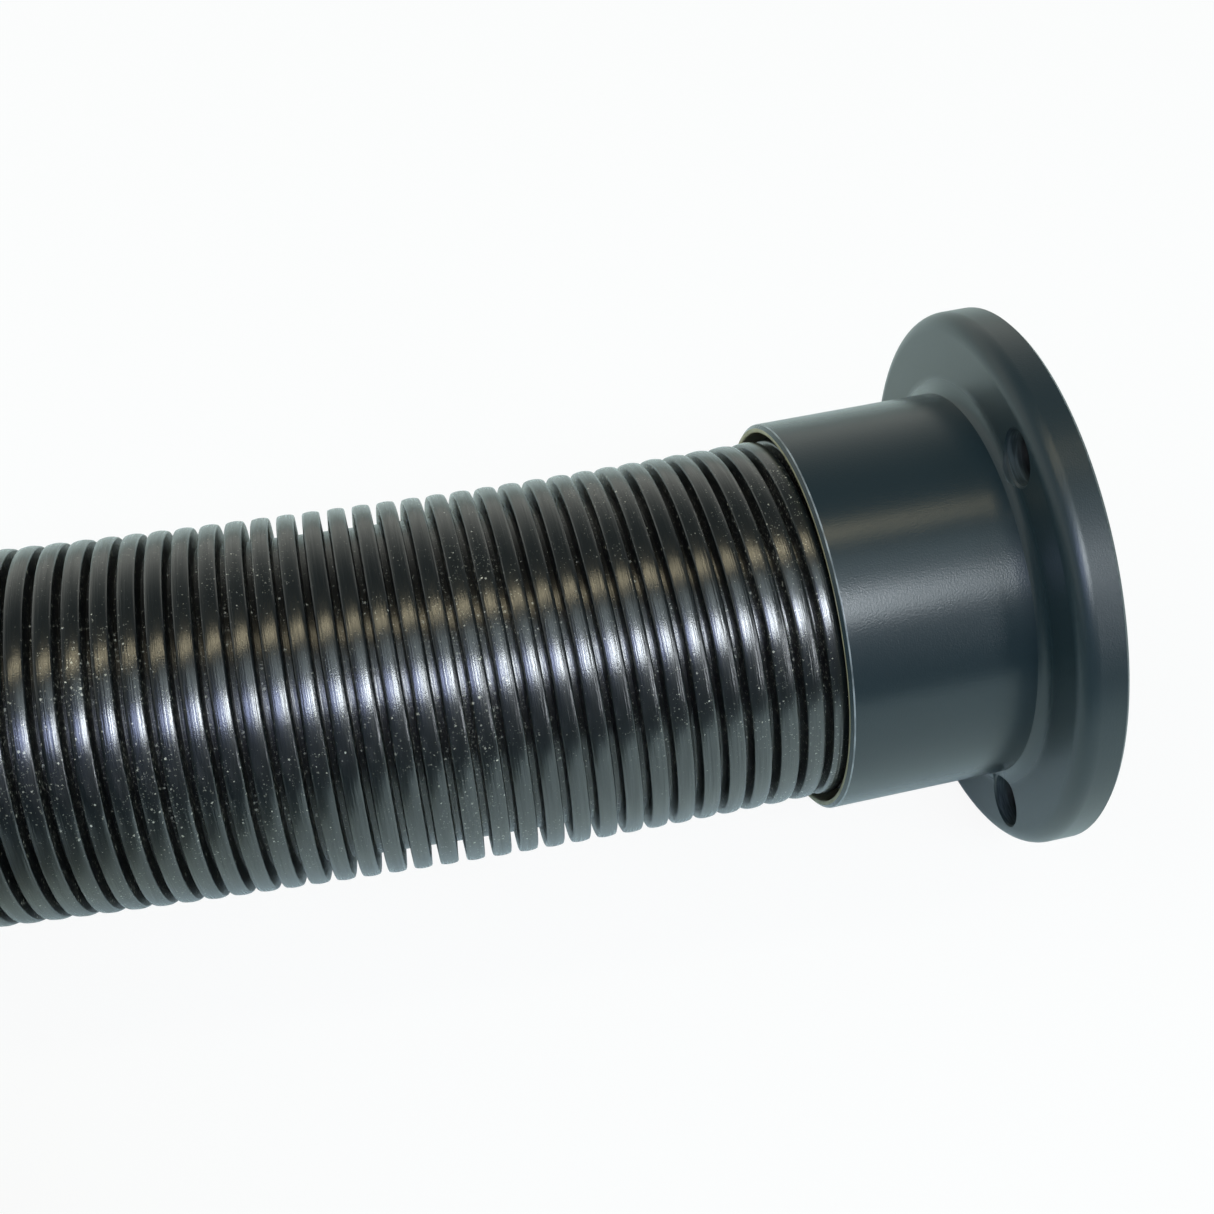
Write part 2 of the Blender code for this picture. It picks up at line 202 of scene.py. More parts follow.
def bore_grid(start, end, around, step):
    """The smooth inside of a straight hose: rings of one radius, a step apart, wound to face inwards."""
    rings = np.linspace(start, end, max(2, round((end - start) / step) + 1))
    angle = np.arange(around) * 2 * math.pi / around
    along, turn = np.meshgrid(rings, angle, indexing="ij")
    points = [along, BORE_RADIUS * np.cos(turn), BORE_RADIUS * np.sin(turn)]
    i, j = np.meshgrid(np.arange(len(rings) - 1), np.arange(around), indexing="ij")
    beside = (j + 1) % around
    corners = [i * around + j, (i + 1) * around + j, (i + 1) * around + beside, i * around + beside]
    faces = np.stack(corners, axis=2).reshape(-1, 4)
    u = np.stack([rings[i], rings[i + 1], rings[i + 1], rings[i]], axis=2)
    v = np.stack([angle[j]] * 2 + [angle[j] + angle[1]] * 2, axis=2) * BORE_RADIUS
    return np.stack(points, axis=2).reshape(-1, 3), faces, np.stack([u, v], axis=3).reshape(-1, 2)


def mesh_of(name, points, faces, uv):
    """A mesh with one UV map, which holds metres along the hose and metres round it."""
    mesh = bpy.data.meshes.new(name)
    mesh.from_pydata(points, [], faces.tolist())
    mesh.uv_layers.new(name="hose_map").data.foreach_set("uv", uv.astype(np.float32).ravel())
    return mesh


def hose_piece(name, line, start, end, profile, around, bore_step):
    """A length of hose: the ribbed grid is cut square at both ends and joined to the bore by flat rings of wall."""
    bm = bmesh.new()
    bm.from_mesh(mesh_of(name, *rib_grid(start, end, profile, around)))
    for place, away in ((start, -1.0), (end, 1.0)):
        bmesh.ops.bisect_plane(
            bm,
            geom=bm.verts[:] + bm.edges[:] + bm.faces[:],
            plane_co=(place, 0.0, 0.0),
            plane_no=(away, 0.0, 0.0),
            clear_outer=True,
            dist=1e-7,
        )
    bm.from_mesh(mesh_of(name, *bore_grid(start, end, around, bore_step)))
    open_edges = [e for e in bm.edges if e.is_boundary]
    for place in (start, end):
        rims = [e for e in open_edges if all(abs(v.co.x - place) < 1e-6 for v in e.verts)]
        bmesh.ops.triangle_fill(bm, edges=rims, use_beauty=True)
    bmesh.ops.recalc_face_normals(bm, faces=bm.faces)
    mesh = bpy.data.meshes.new(name)
    bm.to_mesh(mesh)
    bm.free()
    points = np.empty(len(mesh.vertices) * 3)
    mesh.vertices.foreach_get("co", points)
    mesh.vertices.foreach_set("co", carried(points.reshape(-1, 3), line).ravel())
    mesh.polygons.foreach_set("use_smooth", np.ones(len(mesh.polygons), bool))
    mesh.set_sharp_from_angle(angle=math.radians(50))
    mesh.update()
    piece = bpy.data.objects.new(name, mesh)
    scene.collection.objects.link(piece)
    return piece


hose_line = np.vstack([smooth_line(LEAD_ROUTE)[:-1], coil_line()[:-1], smooth_line(TAIL_ROUTE)])
hose_line = evenly(hose_line, LINE_STEP)
hose_length = lengths_along(hose_line)[-1]
# One pitch of the rib: a rounded edge, the crowned top, the other edge, and the groove's floor between leaning sides.
across = np.array([0.0, 0.3, 1.0]) * RIB_EDGE
below = np.array([1.0, 0.3, 0.0]) * RIB_EDGE + RIB_CROWN
crest = np.linspace(-1, 1, 7)[1:-1]
near_profile = np.column_stack(
    [
        np.concatenate(
            [
                across,
                RIB_WIDTH / 2 + crest * (RIB_WIDTH / 2 - RIB_EDGE),
                RIB_WIDTH - across[::-1],
                (RIB_WIDTH + RIB_DRAFT, RIB_PITCH - RIB_DRAFT),
            ]
        ),
        HOSE_RADIUS - np.concatenate([below, RIB_CROWN * crest**2, below[::-1], (RIB_DEPTH, RIB_DEPTH)]),
    ]
)
far_profile = near_profile[[1, 5, 9, 11, 12]]  # a point for each edge, one for the top and two for the groove
middle = (NEAR_LENGTH + hose_length) / 2
hose_near = hose_piece("hose_near_end", hose_line, 0.0, NEAR_LENGTH, near_profile, NEAR_AROUND, 0.008)
hose_lower = hose_piece("hose_lower_turn", hose_line, NEAR_LENGTH, middle, far_profile, FAR_AROUND, 0.02)
hose_upper = hose_piece("hose_upper_turn", hose_line, middle, hose_length, far_profile, FAR_AROUND, 0.02)


def linear(code):
    """An sRGB hex code as linear colour with full alpha."""
    parts = np.array([int(code[i : i + 2], 16) / 255 for i in (0, 2, 4)])
    parts = np.where(parts <= 0.04045, parts / 12.92, ((parts + 0.055) / 1.055) ** 2.4)
    return (*parts, 1.0)


def add(material, kind, inputs=None, **settings):
    """Adds a node with its settings. Each input is a value, or another node's output to link to it."""
    node = material.node_tree.nodes.new(kind)
    for key, value in settings.items():
        setattr(node, key, value)
    for key, value in (inputs or {}).items():
        if isinstance(value, bpy.types.NodeSocket):
            material.node_tree.links.new(value, node.inputs[key])
        else:
            node.inputs[key].default_value = value
    return node


def new_material(name):
    """A material with an empty node tree."""
    material = bpy.data.materials.new(name)
    material.use_nodes = True
    material.node_tree.nodes.clear()
    return material


RIB_COLOUR = "0b1316"
# The groove's colour is darker than the rib's: painted shade in the recess.
GROOVE_SHADE_COLOUR = "0a0d0e"
DUST_COLOUR = "c4c6b8"


def black_polyethylene():
    """Extruded black polyethylene: glossy, drawn into fine lines along the rib, duller and dustier in the groove. The
    groove is painted darker than the rib: painted shade.
    """
    m = new_material("extruded black polyethylene")
    where = add(m, "ShaderNodeUVMap", uv_map="hose_map").outputs["UV"]
    place = add(m, "ShaderNodeTexCoord").outputs["Object"]
    along = add(m, "ShaderNodeSeparateXYZ", {0: where}).outputs["X"]
    round_it = add(m, "ShaderNodeSeparateXYZ", {0: where}).outputs["Y"]
    # How far a point is across the rib and its groove, in metres: its place along less the helix's own climb.
    climb = {0: round_it, 1: -RIB_PITCH / (2 * math.pi * HOSE_RADIUS), 2: along}
    across = add(m, "ShaderNodeMath", climb, operation="MULTIPLY_ADD").outputs[0]
    start = add(m, "ShaderNodeMath", {0: across, 1: -RIB_PHASE}, operation="ADD").outputs[0]
    offset = add(m, "ShaderNodeMath", {0: start, 1: RIB_PITCH}, operation="FLOORED_MODULO").outputs[0]
    groove = add(m, "ShaderNodeMath", {0: offset, 1: RIB_WIDTH - 0.00002}, operation="GREATER_THAN").outputs[0]
    # Lines about 0.3 mm apart and 15 mm long, and an orange peel 0.15 mm across.
    helix = add(m, "ShaderNodeCombineXYZ", {0: across, 1: round_it})
    lines = add(m, "ShaderNodeMapping", {"Vector": helix.outputs[0], "Scale": (3600.0, 70.0, 1.0)})
    drawn = add(m, "ShaderNodeTexNoise", {"Vector": lines.outputs[0], "Scale": 1.0, "Detail": 2.0})
    peel = add(m, "ShaderNodeTexNoise", {"Vector": place, "Scale": 6500.0, "Detail": 1.0})
    line_gloss = {"Value": drawn.outputs["Fac"], "From Min": 0.3, "From Max": 0.7, "To Min": 1.0, "To Max": 0.6}
    gloss = add(m, "ShaderNodeMapRange", line_gloss).outputs[0]
    # The groove's floor is clean, and shines, only near the fitting.
    x = add(m, "ShaderNodeSeparateXYZ", {0: place}).outputs["X"]
    clean = {"Value": x, "From Min": -0.118, "From Max": -0.085, "To Min": 0.06, "To Max": 0.6}
    clean = add(m, "ShaderNodeMapRange", clean).outputs[0]
    gloss = add(m, "ShaderNodeMix", {0: groove, 2: gloss, 3: clean}, data_type="FLOAT").outputs[0]
    line_bump = {"Height": drawn.outputs["Fac"], "Strength": 0.8, "Distance": 0.00008}
    normal = add(m, "ShaderNodeBump", line_bump).outputs[0]
    peel_bump = {"Height": peel.outputs["Fac"], "Strength": 0.5, "Distance": 0.00003, "Normal": normal}
    normal = add(m, "ShaderNodeBump", peel_bump).outputs[0]
    # Dust: ragged specks, most of them 0.1 to 0.3 mm across, some faint, in a share of the cells of three Voronoi
    # patterns. More of them lie in patches, and in the groove.
    patches = add(m, "ShaderNodeTexNoise", {"Vector": place, "Scale": 60.0, "Detail": 2.0}).outputs["Fac"]
    spread = add(m, "ShaderNodeMath", {0: patches, 1: 0.9, 2: -0.30}, operation="MULTIPLY_ADD").outputs[0]
    spread = add(m, "ShaderNodeMath", {0: groove, 1: 0.20, 2: spread}, operation="MULTIPLY_ADD").outputs[0]
    wobble = add(m, "ShaderNodeTexNoise", {"Vector": place, "Scale": 7000.0}).outputs["Color"]
    shake = {0: wobble, 1: (0.0005, 0.0005, 0.0005), 2: place}
    shaken = add(m, "ShaderNodeVectorMath", shake, operation="MULTIPLY_ADD")
    dust = 0.0
    for scale, radius, fewest in ((3000.0, 0.42, 0.80), (1600.0, 0.32, 0.93), (900.0, 0.22, 0.98)):
        cells = add(m, "ShaderNodeTexVoronoi", {"Vector": shaken.outputs[0], "Scale": scale})
        lots = add(m, "ShaderNodeSeparateColor", {"Color": cells.outputs["Color"]}).outputs
        size = add(m, "ShaderNodeMath", {0: lots["Red"], 1: spread}, operation="ADD").outputs[0]
        grown = {"Value": size, "From Min": fewest, "From Max": 1.30, "To Min": 0.0, "To Max": radius}
        size = add(m, "ShaderNodeMapRange", grown).outputs[0]
        speck = add(m, "ShaderNodeMath", {0: cells.outputs["Distance"], 1: size}, operation="LESS_THAN").outputs[0]
        strong = {"Value": lots["Green"], "To Min": 0.15, "To Max": 1.0 if scale < 3000 else 0.4}
        speck = {0: speck, 1: add(m, "ShaderNodeMapRange", strong).outputs[0]}
        speck = add(m, "ShaderNodeMath", speck, operation="MULTIPLY").outputs[0]
        dust = add(m, "ShaderNodeMath", {0: speck, 1: dust}, operation="MAXIMUM").outputs[0]
    # The groove takes the darker colour: painted shade.
    colours = {0: groove, 6: linear(RIB_COLOUR), 7: linear(GROOVE_SHADE_COLOUR)}
    bare = add(m, "ShaderNodeMix", colours, data_type="RGBA").outputs[2]
    colour = add(m, "ShaderNodeMix", {0: dust, 6: bare, 7: linear(DUST_COLOUR)}, data_type="RGBA")
    shader = add(
        m,
        "ShaderNodeBsdfPrincipled",
        {
            "Base Color": colour.outputs[2],
            "Roughness": 0.38,
            "IOR": 1.45,
            "Normal": normal,
            "Coat Weight": gloss,
            "Coat IOR": 1.90,
            "Coat Roughness": 0.145,
            "Coat Normal": normal,
        },
    )
    add(m, "ShaderNodeOutputMaterial", {"Surface": shader.outputs[0]})
    return m


hose_black = black_polyethylene()
for piece in (hose_near, hose_lower, hose_upper):
    piece.data.materials.append(hose_black)
    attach(piece, "hose")
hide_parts("hose_socket_end", "hose_lead")
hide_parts("hose_coil")
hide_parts("hose_tail")

# ---- The flange fitting -------------------------------------------------------------------------------------------
# One moulding of dark grey ABS: a thin collar that the hose is glued in, a hollow fillet, and a flange with a round
# rim and three plain bolt holes. The mould's spark-eroded skin leaves a fine grain.

COLLAR_RADIUS = 0.03175
SOCKET_RADIUS = 0.0304
SOCKET_DEPTH = 0.0270
COLLAR_LENGTH = 0.0313
FLANGE_RADIUS = 0.04445
FLANGE_THICKNESS = 0.0075
ROOT_ROUND = 0.0042
ROOT_REACH = 0.00315
RIM_ROUND = 0.0030
LIP_CHAMFER = 0.00065
LIP_ROUND = 0.00025
EDGE_CHAMFER = 0.0005
BOLT_CIRCLE = 0.0369
BOLT_HOLE = 0.00435
HOLE_EDGE = 0.0003
HOLE_ANGLES = (102.5, 222.5, 342.5)  # degrees from +Y towards +Z
FITTING_STEPS = 256
DRILL_REACH = 0.02
# The fitting's four materials, in order: its skin, and these.
HOLE_WALL, SOCKET_WALL, FLANGE_SKIN = 1, 2, 3


def arc(along, out, radius, start, end, steps):
    """Points of an arc about (along, out), from a start to an end angle in degrees."""
    turn = np.radians(np.linspace(start, end, steps + 1))
    return np.column_stack([along + radius * np.cos(turn), out + radius * np.sin(turn)])


def turned(profile, steps, along_from, axis_y, axis_z, direction=1.0):
    """A closed profile of (along, out) turned about a line parallel to X: round = out x (cosine, sine)."""
    profile = np.array(profile, float)
    angle = np.arange(steps) * 2 * math.pi / steps
    along = along_from + direction * profile[:, 0]
    x = np.repeat(along[:, None], steps, axis=1)
    y = axis_y + profile[:, 1][:, None] * np.cos(angle)
    z = axis_z + profile[:, 1][:, None] * np.sin(angle)
    i, j = np.meshgrid(np.arange(len(profile)), np.arange(steps), indexing="ij")
    below, beside = (i + 1) % len(profile), (j + 1) % steps
    corners = [i * steps + j, below * steps + j, below * steps + beside, i * steps + beside]
    return np.stack([x, y, z], axis=2).reshape(-1, 3), np.stack(corners, axis=2).reshape(-1, 4)


def solid(name, points, faces, sharp=35.0):
    """A mesh object with doubled points merged and its faces turned outwards, smooth except where two faces meet at
    more than an angle."""
    bm = bmesh.new()
    mesh = bpy.data.meshes.new(name)
    mesh.from_pydata(points, [], faces.tolist())
    bm.from_mesh(mesh)
    bmesh.ops.remove_doubles(bm, verts=bm.verts, dist=1e-7)
    bmesh.ops.delete(bm, geom=[e for e in bm.edges if not e.link_faces], context="EDGES")
    bmesh.ops.recalc_face_normals(bm, faces=bm.faces)
    bm.to_mesh(mesh)
    bm.free()
    mesh.polygons.foreach_set("use_smooth", np.ones(len(mesh.polygons), bool))
    mesh.set_sharp_from_angle(angle=math.radians(sharp))
    piece = bpy.data.objects.new(name, mesh)
    scene.collection.objects.link(piece)
    return piece


root_angle = math.degrees(math.asin(ROOT_REACH / ROOT_ROUND))
fitting_profile = np.vstack(
    [
        arc(0.0003, SOCKET_RADIUS + 0.0003, 0.0003, -90, -180, 3),
        (0.0, COLLAR_RADIUS - LIP_CHAMFER + LIP_ROUND * 0.2),
        arc(LIP_CHAMFER, COLLAR_RADIUS - LIP_ROUND, LIP_ROUND, 135, 90, 4),
        arc(COLLAR_LENGTH - ROOT_ROUND, COLLAR_RADIUS + ROOT_REACH, ROOT_ROUND, -root_angle, 0, 14),
        arc(COLLAR_LENGTH + RIM_ROUND, FLANGE_RADIUS - RIM_ROUND, RIM_ROUND, 180, 90, 16),
        (COLLAR_LENGTH + FLANGE_THICKNESS - EDGE_CHAMFER, FLANGE_RADIUS),
        (COLLAR_LENGTH + FLANGE_THICKNESS, FLANGE_RADIUS - EDGE_CHAMFER),
        (COLLAR_LENGTH + FLANGE_THICKNESS, BORE_RADIUS + EDGE_CHAMFER),
        (COLLAR_LENGTH + FLANGE_THICKNESS - EDGE_CHAMFER, BORE_RADIUS),
        (SOCKET_DEPTH, BORE_RADIUS),
        (SOCKET_DEPTH, SOCKET_RADIUS),
    ]
)
fitting = solid("flange_moulding", *turned(fitting_profile, FITTING_STEPS, MOUTH[0], 0.0, MOUTH[2]))
drill_profile = [
    (COLLAR_LENGTH - DRILL_REACH, 0.0),
    (COLLAR_LENGTH - DRILL_REACH, BOLT_HOLE + HOLE_EDGE),
    (COLLAR_LENGTH, BOLT_HOLE + HOLE_EDGE),
    (COLLAR_LENGTH + HOLE_EDGE, BOLT_HOLE),
    (COLLAR_LENGTH + DRILL_REACH, BOLT_HOLE),
    (COLLAR_LENGTH + DRILL_REACH, 0.0),
]
turns = np.radians(HOLE_ANGLES)
hole_places = BOLT_CIRCLE * np.column_stack([np.cos(turns), np.sin(turns)]) + MOUTH[1:]
for y, z in hole_places:
    tool = solid("drill", *turned(drill_profile, 64, MOUTH[0], y, z))
    cut = fitting.modifiers.new("bolt hole", "BOOLEAN")
    cut.operation = "DIFFERENCE"
    cut.solver = "EXACT"
    cut.object = tool
    drilled = bpy.data.meshes.new_from_object(fitting.evaluated_get(bpy.context.evaluated_depsgraph_get()))
    fitting.modifiers.remove(cut)
    fitting.data = drilled
    bpy.data.objects.remove(tool)
# A face's material goes by where its middle is, with a margin for the faces that end on the line between two.
for face in fitting.data.polygons:
    away = np.linalg.norm(hole_places - face.center[1:], axis=1).min()
    if face.center.x > MOUTH[0] + COLLAR_LENGTH - 0.0001:
        face.material_index = FLANGE_SKIN
    if away < BOLT_HOLE + HOLE_EDGE and abs(face.normal.x) < 0.3:
        face.material_index = HOLE_WALL
    inside = np.linalg.norm(np.array(face.center[1:]) - MOUTH[1:]) < SOCKET_RADIUS + 0.0006
    if inside and face.center.x < MOUTH[0] + SOCKET_DEPTH - 0.001:
        face.material_index = SOCKET_WALL
fitting.data.polygons.foreach_set("use_smooth", np.ones(len(fitting.data.polygons), bool))
fitting.data.set_sharp_from_angle(angle=math.radians(30))
flat = fitting.modifiers.new("even shading", "WEIGHTED_NORMAL")
flat.keep_sharp = True


def grained_abs(name, colour, grain, coat_roughness, worn_edge=1.0):
    """Moulded ABS with a spark-eroded skin: satin, with a grain that breaks up its highlights. An edge at one X can be
    worn pale, along a line 0.2 mm wide that comes and goes. Nothing of the object is at that X's default."""
    m = new_material(name)
    place = add(m, "ShaderNodeTexCoord").outputs["Object"]
    # Grain about 0.25 mm across, which is coarser than the mould's own, so that it shows.
    fine = add(m, "ShaderNodeTexNoise", {"Vector": place, "Scale": 4000.0, "Detail": 1.0})
    bump = add(m, "ShaderNodeBump", {"Height": fine.outputs["Fac"], "Strength": grain, "Distance": 0.00004})
    x = add(m, "ShaderNodeSeparateXYZ", {0: place}).outputs["X"]
    edge = add(m, "ShaderNodeMath", {0: x, 1: worn_edge, 2: 0.00011}, operation="COMPARE").outputs[0]
    patches = add(m, "ShaderNodeTexNoise", {"Vector": place, "Scale": 300.0, "Detail": 2.0}).outputs["Fac"]
    patches = {"Value": patches, "From Min": 0.35, "From Max": 0.65, "To Min": 0.35, "To Max": 1.0}
    worn = {0: edge, 1: add(m, "ShaderNodeMapRange", patches).outputs[0]}
    worn = add(m, "ShaderNodeMath", worn, operation="MULTIPLY").outputs[0]
    skin = add(m, "ShaderNodeMix", {0: worn, 6: linear(colour), 7: linear("8b969b")}, data_type="RGBA").outputs[2]
    shader = add(
        m,
        "ShaderNodeBsdfPrincipled",
        {
            "Base Color": skin,
            "Roughness": 0.5,
            "IOR": 1.30,
            "Normal": bump.outputs[0],
            "Coat Weight": 1.0,
            "Coat Roughness": coat_roughness,
            "Coat Normal": bump.outputs[0],
        },
    )
    add(m, "ShaderNodeOutputMaterial", {"Surface": shader.outputs[0]})
    return m


def hole_wall_painted_light():
    """The walls of the bolt holes: the same ABS with rings along the hole, painted paler for the light that reaches
    into the hole: painted light.
    """
    m = new_material("grey ABS hole wall, painted light and shade")
    place = add(m, "ShaderNodeTexCoord").outputs["Object"]
    # Rings about 0.4 mm apart, which fade in and out round the hole.
    rings = add(m, "ShaderNodeMapping", {"Vector": place, "Scale": (2600.0, 260.0, 260.0)})
    marks = add(m, "ShaderNodeTexNoise", {"Vector": rings.outputs[0], "Scale": 1.0, "Detail": 1.0}).outputs["Fac"]
    spread = {0: marks, "From Min": 0.35, "From Max": 0.65, "To Min": 0.0, "To Max": 1.0}
    share = add(m, "ShaderNodeMapRange", spread).outputs[0]
    # Both colours are paler than the ABS: painted light on the wall.
    colours = {0: share, 6: linear("2c373a"), 7: linear("4c595c")}
    colour = add(m, "ShaderNodeMix", colours, data_type="RGBA").outputs[2]
    # The wall darkens from 1.6 to 2.9 mm past the mouth of the hole: painted shade, deeper than the light reaches.
    x = add(m, "ShaderNodeSeparateXYZ", {0: place}).outputs["X"]
    depth = add(m, "ShaderNodeMapRange", {"Value": x, "From Min": 0.0135, "From Max": 0.0148}).outputs[0]
    colour = add(m, "ShaderNodeMix", {0: depth, 6: colour, 7: linear("0a0d10")}, data_type="RGBA").outputs[2]
    bump = add(m, "ShaderNodeBump", {"Height": marks, "Strength": 0.8, "Distance": 0.0001}).outputs[0]
    shader = {"Base Color": colour, "Roughness": 0.6, "IOR": 1.4, "Normal": bump}
    add(m, "ShaderNodeOutputMaterial", {"Surface": add(m, "ShaderNodeBsdfPrincipled", shader).outputs[0]})
    return m


def cement_painted_light():
    """Dried solvent cement on the socket's wall, painted a pale yellowish grey for the light that the wall catches and
    reflects in the gap round the hose: painted light and reflection.
    """
    m = new_material("solvent cement, painted light")
    place = add(m, "ShaderNodeTexCoord").outputs["Object"]
    runs = add(m, "ShaderNodeTexNoise", {"Vector": place, "Scale": 500.0, "Detail": 3.0}).outputs["Fac"]
    # Both colours are pale: painted light and reflection on the wall.
    colour = add(m, "ShaderNodeMix", {0: runs, 6: linear("777a64"), 7: linear("b9ba98")}, data_type="RGBA").outputs[2]
    bump = add(m, "ShaderNodeBump", {"Height": runs, "Strength": 0.6, "Distance": 0.0002}).outputs[0]
    shader = {"Base Color": colour, "Roughness": 0.4, "IOR": 1.5, "Normal": bump}
    add(m, "ShaderNodeOutputMaterial", {"Surface": add(m, "ShaderNodeBsdfPrincipled", shader).outputs[0]})
    return m


worn_lip = MOUTH[0] + LIP_CHAMFER - 0.0001
fitting.data.materials.append(grained_abs("grained grey ABS", "17272d", 0.5, 0.225, worn_lip))
# The bolt holes' walls, with painted light and shade.
fitting.data.materials.append(hole_wall_painted_light())
# The socket's wall, with painted light.
fitting.data.materials.append(cement_painted_light())
fitting.data.materials.append(grained_abs("duller grained grey ABS", "17272d", 0.5, 0.315))
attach(fitting, "hose")
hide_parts("flange_fitting")

# ---- The socket's rubber ring -------------------------------------------------------------------------------------
# A flat ring of moulded nitrile rubber that the hose's end presses against the fitting's inner shoulder. The washer
# between the cuff and its sleeve is of the same rubber. Both keep the shape of their CAD solids.


def black_rubber():
    """Moulded nitrile rubber: dull, nearly black, with a slight bloom."""
    m = new_material("moulded nitrile rubber")
    place = add(m, "ShaderNodeTexCoord").outputs["Object"]
    bloom = add(m, "ShaderNodeTexNoise", {"Vector": place, "Scale": 400.0, "Detail": 3.0})
    rough = add(
        m,
        "ShaderNodeMapRange",
        {"Value": bloom.outputs["Fac"], "To Min": 0.6, "To Max": 0.8},
    )
    shader = add(
        m,
        "ShaderNodeBsdfPrincipled",
        {"Base Color": linear("17181a"), "Roughness": rough.outputs[0], "IOR": 1.52},
    )
    add(m, "ShaderNodeOutputMaterial", {"Surface": shader.outputs[0]})
    return m


rubber = black_rubber()
for node in ("socket_seal", "cuff_seal"):
    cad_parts[node].data.materials.clear()
    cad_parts[node].data.materials.append(rubber)

# ---- The swivel cuff ----------------------------------------------------------------------------------------------
# The hose's far end is glued into a plain sleeve. A cuff of the same grained ABS turns on the sleeve's flange, and a
# nut at its back keeps it there. The cuff is fluted for the hand, and its open end takes the vacuum head's connector.

CUFF_REAR = (-0.405, -0.104, 0.040)
CUFF_RADIUS = 0.0400
SLEEVE_BORE = 0.0295
SLEEVE_RADIUS = 0.0327
THRUST_RADIUS = 0.0362
NECK_RADIUS = 0.0315
BEAD_RADIUS = 0.0330
CUFF_SOCKET = 0.0255
FLUTES = 24
FLUTE_DEPTH = 0.0011
NOTCHES = 60
NOTCH_DEPTH = 0.0005
GAP = 0.0003  # the play between two pieces

# Each profile's points are (distance ahead of the cuff's rear, distance out from its axis).
sleeve_profile = np.vstack(
    [
        arc(0.0024, SLEEVE_BORE + 0.0004, 0.0004, -90, -180, 3),
        arc(0.0028, SLEEVE_RADIUS - 0.0008, 0.0008, 180, 90, 5),
        (0.0390, SLEEVE_RADIUS),
        arc(0.0394, THRUST_RADIUS - 0.0004, 0.0004, 180, 90, 3),
        arc(0.0426, THRUST_RADIUS - 0.0004, 0.0004, 90, 0, 3),
        (0.0430, SLEEVE_RADIUS),
        (0.0457, SLEEVE_RADIUS),
        (0.0457, BORE_RADIUS),
        (0.0433, BORE_RADIUS),
        (0.0433, SLEEVE_BORE),
    ]
)
shell_profile = np.vstack(
    [
        (0.0086, THRUST_RADIUS + GAP),
        arc(0.0094, CUFF_RADIUS - 0.0008, 0.0008, 180, 90, 5),
        np.column_stack([np.linspace(0.0115, 0.0475, 25), np.full(25, CUFF_RADIUS)]),
        arc(0.0485, CUFF_RADIUS - 0.0015, 0.0015, 90, 40, 5),
        arc(0.0612, NECK_RADIUS + 0.0030, 0.0030, 220, 270, 5),
        (0.1060, NECK_RADIUS),
        arc(0.1080, BEAD_RADIUS - 0.0010, 0.0010, 150, 90, 5),
        arc(0.1110, BEAD_RADIUS - 0.0010, 0.0010, 90, 0, 6),
        arc(0.1112, CUFF_SOCKET + 0.0008, 0.0008, 0, -90, 5),
        (0.0463, CUFF_SOCKET),
        (0.0463, SLEEVE_RADIUS + GAP),
        (0.0451, SLEEVE_RADIUS + GAP),
        (0.0451, THRUST_RADIUS + GAP),
    ]
)
nut_profile = np.vstack(
    [
        (0.0040, SLEEVE_RADIUS + GAP),
        arc(0.0048, CUFF_RADIUS - 0.0008, 0.0008, 180, 90, 5),
        np.column_stack([np.linspace(0.0052, 0.0078, 6), np.full(6, CUFF_RADIUS)]),
        arc(0.0079, CUFF_RADIUS - 0.0004, 0.0004, 90, 0, 3),
        (0.0083, THRUST_RADIUS),
        (0.0387, THRUST_RADIUS),
        (0.0387, SLEEVE_RADIUS + GAP),
    ]
)


def grooved(points, steps, count, depth, first, last, run_out):
    """Turned points with grooves sunk in their outside: out less depth x ((1 + cos(count x angle)) / 2) squared, which
    fades in and out over a run-out at the ends."""
    x, y, z = points.T
    along = CUFF_REAR[0] - x
    out = np.hypot(y - CUFF_REAR[1], z - CUFF_REAR[2])
    angle = np.tile(np.arange(steps) * 2 * math.pi / steps, len(points) // steps)
    wave = ((1 + np.cos(count * angle)) / 2) ** 2
    fade = np.clip((along - first) / run_out, 0, 1) * np.clip((last - along) / run_out, 0, 1)
    fade = fade * fade * (3 - 2 * fade) * (out > CUFF_RADIUS - 1e-5)
    shrink = 1 - depth * wave * fade / out
    return np.column_stack([x, CUFF_REAR[1] + (y - CUFF_REAR[1]) * shrink, CUFF_REAR[2] + (z - CUFF_REAR[2]) * shrink])


def cuff_piece(name, profile, steps, grooves, body, node):
    """A profile turned about the cuff's axis, with its grooves, if any, and fitted to its body, slot and CAD node."""
    points, faces = turned(profile, steps, CUFF_REAR[0], CUFF_REAR[1], CUFF_REAR[2], -1.0)
    if grooves:
        points = grooved(points, steps, *grooves)
    piece = solid(name, points, faces)
    piece.data.materials.append(cuff_abs)
    piece.modifiers.new("even shading", "WEIGHTED_NORMAL").keep_sharp = True
    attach(piece, body)
    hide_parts(node)
    return piece


cuff_abs = grained_abs("grained charcoal ABS", "1c2224", 0.8, 0.225)
flute_grooves = (FLUTES, FLUTE_DEPTH, 0.0120, 0.0470, 0.0060)
notch_grooves = (NOTCHES, NOTCH_DEPTH, 0.0048, 0.0082, 0.0006)
sleeve = cuff_piece("cuff_sleeve", sleeve_profile, 128, None, "hose", "cuff_insert")
shell = cuff_piece("cuff_body", shell_profile, FLUTES * 10, flute_grooves, "cuff", "cuff_shell")
nut = cuff_piece("cuff_nut", nut_profile, NOTCHES * 6, notch_grooves, "cuff", "cuff_retaining_nut")

# ---- The coil's straps --------------------------------------------------------------------------------------------
# Three straps of black polypropylene webbing, woven 25 mm wide, hold the two layers of the coil together. The end of
# each is folded over the outside and sewn down with a box of stitches.

